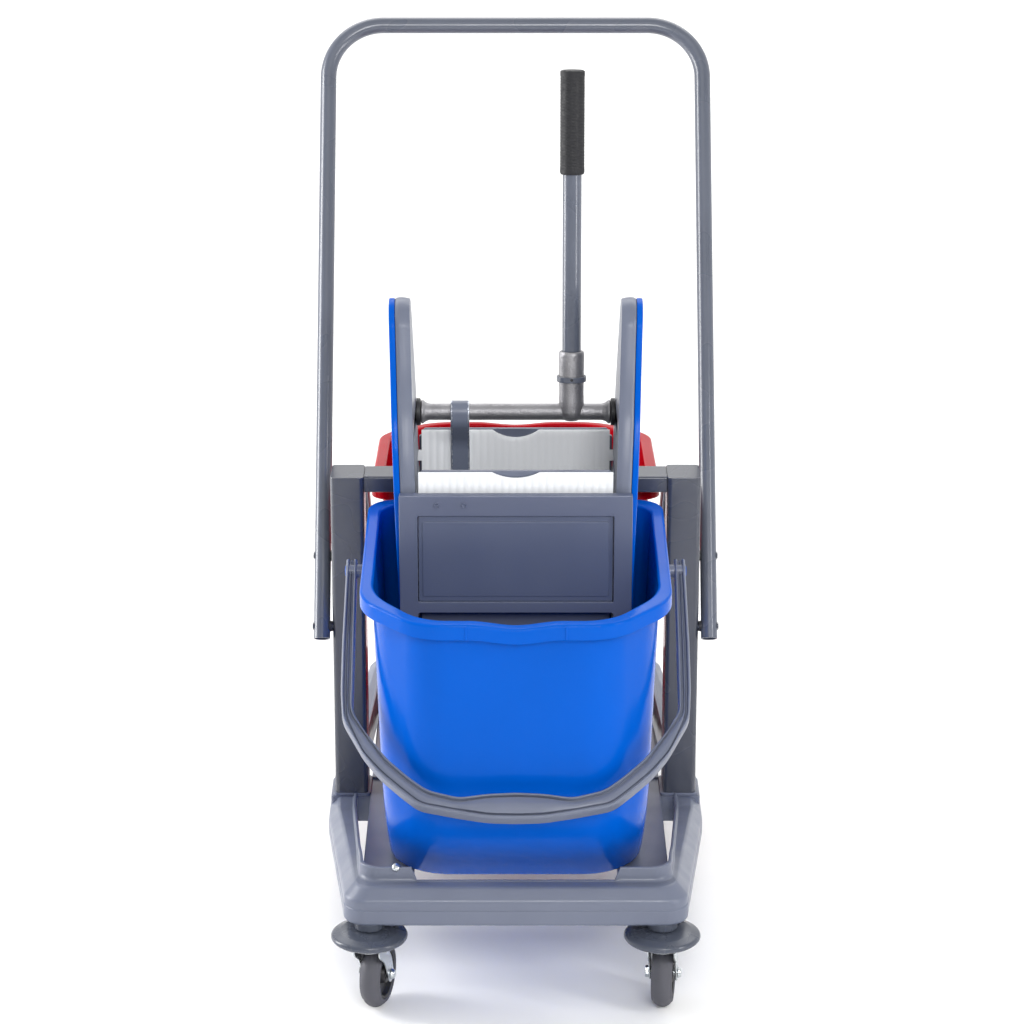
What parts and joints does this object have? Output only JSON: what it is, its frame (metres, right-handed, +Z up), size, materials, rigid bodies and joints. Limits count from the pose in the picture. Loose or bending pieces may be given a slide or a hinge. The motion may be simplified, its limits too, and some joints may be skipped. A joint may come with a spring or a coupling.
{
  "type": "mop trolley",
  "caption": "Mop trolley with a bucket in front and one behind, a lever press wringer over the front bucket, a push handle and swivel castors.",
  "frame": {"origin": "on the floor, under the middle of the chassis", "axes": "+Z up; +Y towards the push handle and the rear bucket; -Y towards the wringer bucket; +X to the lever's side"},
  "size_m": [0.4962, 0.8242, 1.0281],
  "materials": {
    "grey_plastic": "satin moulded polypropylene",
    "blue_plastic": "satin-gloss moulded polypropylene",
    "red_plastic": "satin-gloss moulded polypropylene",
    "white_plastic": "moulded",
    "dark_plastic": "moulded",
    "grey_rubber": "non-marking tread",
    "black_rubber": "ribbed grip",
    "painted_steel": "semi-gloss paint",
    "zinc_steel": "bright zinc plate",
    "cast_metal": "as cast"
  },
  "bodies": {
    "chassis": {"chassis": "grey_plastic", "post_left": "painted_steel", "post_right": "painted_steel", "cross_bar": "painted_steel", "push_handle": "painted_steel", "bumper_disc_front_left": "grey_plastic", "bumper_disc_front_right": "grey_plastic", "bumper_disc_rear_left": "grey_plastic", "bumper_disc_rear_right": "grey_plastic", "handle_bolt_left_lower": "zinc_steel", "handle_bolt_left_upper": "zinc_steel", "handle_bolt_right_lower": "zinc_steel", "handle_bolt_right_upper": "zinc_steel", "handle_spacer_left_lower": "painted_steel", "handle_spacer_left_upper": "painted_steel", "handle_spacer_right_lower": "painted_steel", "handle_spacer_right_upper": "painted_steel"},
    "castor_front_left": {"castor_fork_front_left": "zinc_steel", "wheel_axle_front_left": "zinc_steel"},
    "wheel_front_left": {"wheel_tyre_front_left": "grey_rubber", "wheel_hub_front_left": "dark_plastic"},
    "castor_front_right": {"castor_fork_front_right": "zinc_steel", "wheel_axle_front_right": "zinc_steel"},
    "wheel_front_right": {"wheel_tyre_front_right": "grey_rubber", "wheel_hub_front_right": "dark_plastic"},
    "castor_rear_left": {"castor_fork_rear_left": "zinc_steel", "wheel_axle_rear_left": "zinc_steel"},
    "wheel_rear_left": {"wheel_tyre_rear_left": "grey_rubber", "wheel_hub_rear_left": "dark_plastic"},
    "castor_rear_right": {"castor_fork_rear_right": "zinc_steel", "wheel_axle_rear_right": "zinc_steel"},
    "wheel_rear_right": {"wheel_tyre_rear_right": "grey_rubber", "wheel_hub_rear_right": "dark_plastic"},
    "blue_bucket": {"blue_bucket": "blue_plastic"},
    "blue_bail": {"blue_bail": "grey_plastic"},
    "red_bucket": {"red_bucket": "red_plastic"},
    "red_bail": {"red_bail": "grey_plastic"},
    "wringer": {"wringer_side_left": "grey_plastic", "wringer_side_right": "grey_plastic", "wringer_cover_left": "blue_plastic", "wringer_cover_right": "blue_plastic", "wringer_front_frame": "grey_plastic", "wringer_front_panel": "grey_plastic", "front_jaw": "white_plastic", "front_jaw_back": "grey_plastic", "wringer_rear_beam": "grey_plastic", "wringer_floor": "grey_plastic", "rack_left": "zinc_steel", "rack_right": "zinc_steel"},
    "press_carriage": {"rear_jaw": "white_plastic", "rear_jaw_back": "grey_plastic", "jaw_strap": "painted_steel", "shaft_bush_left": "dark_plastic", "shaft_bush_right": "dark_plastic"},
    "press_lever": {"press_shaft": "cast_metal", "pinion_left": "cast_metal", "pinion_right": "cast_metal", "socket_ring": "painted_steel", "lever_tube": "painted_steel", "lever_grip": "black_rubber"}
  },
  "joints": [
    {"name": "swivel_front_left", "type": "hinge", "parent": "chassis", "child": "castor_front_left", "pos_m": [-0.166, -0.365, 0.1], "axis": [0, 0, 1], "continuous": true},
    {"name": "roll_front_left", "type": "hinge", "parent": "castor_front_left", "child": "wheel_front_left", "pos_m": [-0.15823, -0.33602, 0.04], "axis": [0.9659, -0.2588, 0], "continuous": true},
    {"name": "swivel_front_right", "type": "hinge", "parent": "chassis", "child": "castor_front_right", "pos_m": [0.166, -0.365, 0.1], "axis": [0, 0, 1], "continuous": true},
    {"name": "roll_front_right", "type": "hinge", "parent": "castor_front_right", "child": "wheel_front_right", "pos_m": [0.16966, -0.33522, 0.04], "axis": [0.9925, -0.1219, 0], "continuous": true},
    {"name": "swivel_rear_left", "type": "hinge", "parent": "chassis", "child": "castor_rear_left", "pos_m": [-0.166, 0.365, 0.1], "axis": [0, 0, 1], "continuous": true},
    {"name": "roll_rear_left", "type": "hinge", "parent": "castor_rear_left", "child": "wheel_rear_left", "pos_m": [-0.17017, 0.33529, 0.04], "axis": [-0.9903, 0.1392, 0], "continuous": true},
    {"name": "swivel_rear_right", "type": "hinge", "parent": "chassis", "child": "castor_rear_right", "pos_m": [0.166, 0.365, 0.1], "axis": [0, 0, 1], "continuous": true},
    {"name": "roll_rear_right", "type": "hinge", "parent": "castor_rear_right", "child": "wheel_rear_right", "pos_m": [0.17427, 0.33616, 0.04], "axis": [-0.9613, -0.2756, 0], "continuous": true},
    {"name": "blue_bucket_lift", "type": "slide", "parent": "chassis", "child": "blue_bucket", "axis": [0, 0, 1], "range_m": [0, 0.3]},
    {"name": "blue_bail_hinge", "type": "hinge", "parent": "blue_bucket", "child": "blue_bail", "pos_m": [0, -0.165, 0.468], "axis": [-1, 0, 0], "range_deg": [0, 112]},
    {"name": "red_bucket_lift", "type": "slide", "parent": "chassis", "child": "red_bucket", "axis": [0, 0, 1], "range_m": [0, 0.3]},
    {"name": "red_bail_hinge", "type": "hinge", "parent": "red_bucket", "child": "red_bail", "pos_m": [0, 0.165, 0.468], "axis": [1, 0, 0], "range_deg": [0, 118]},
    {"name": "wringer_lift", "type": "slide", "parent": "blue_bucket", "child": "wringer", "axis": [0, 0, 1], "range_m": [0, 0.3]},
    {"name": "press_slide", "type": "slide", "parent": "wringer", "child": "press_carriage", "axis": [0, -1, 0], "range_m": [0, 0.0754]},
    {"name": "press_lever_turn", "type": "hinge", "parent": "press_carriage", "child": "press_lever", "pos_m": [0, -0.07, 0.632], "axis": [1, 0, 0], "range_deg": [0, 96]}
  ],
  "couplings": [
    {"joint": "press_slide", "follows": "press_lever_turn", "m_per_rad": 0.045}
  ]
}
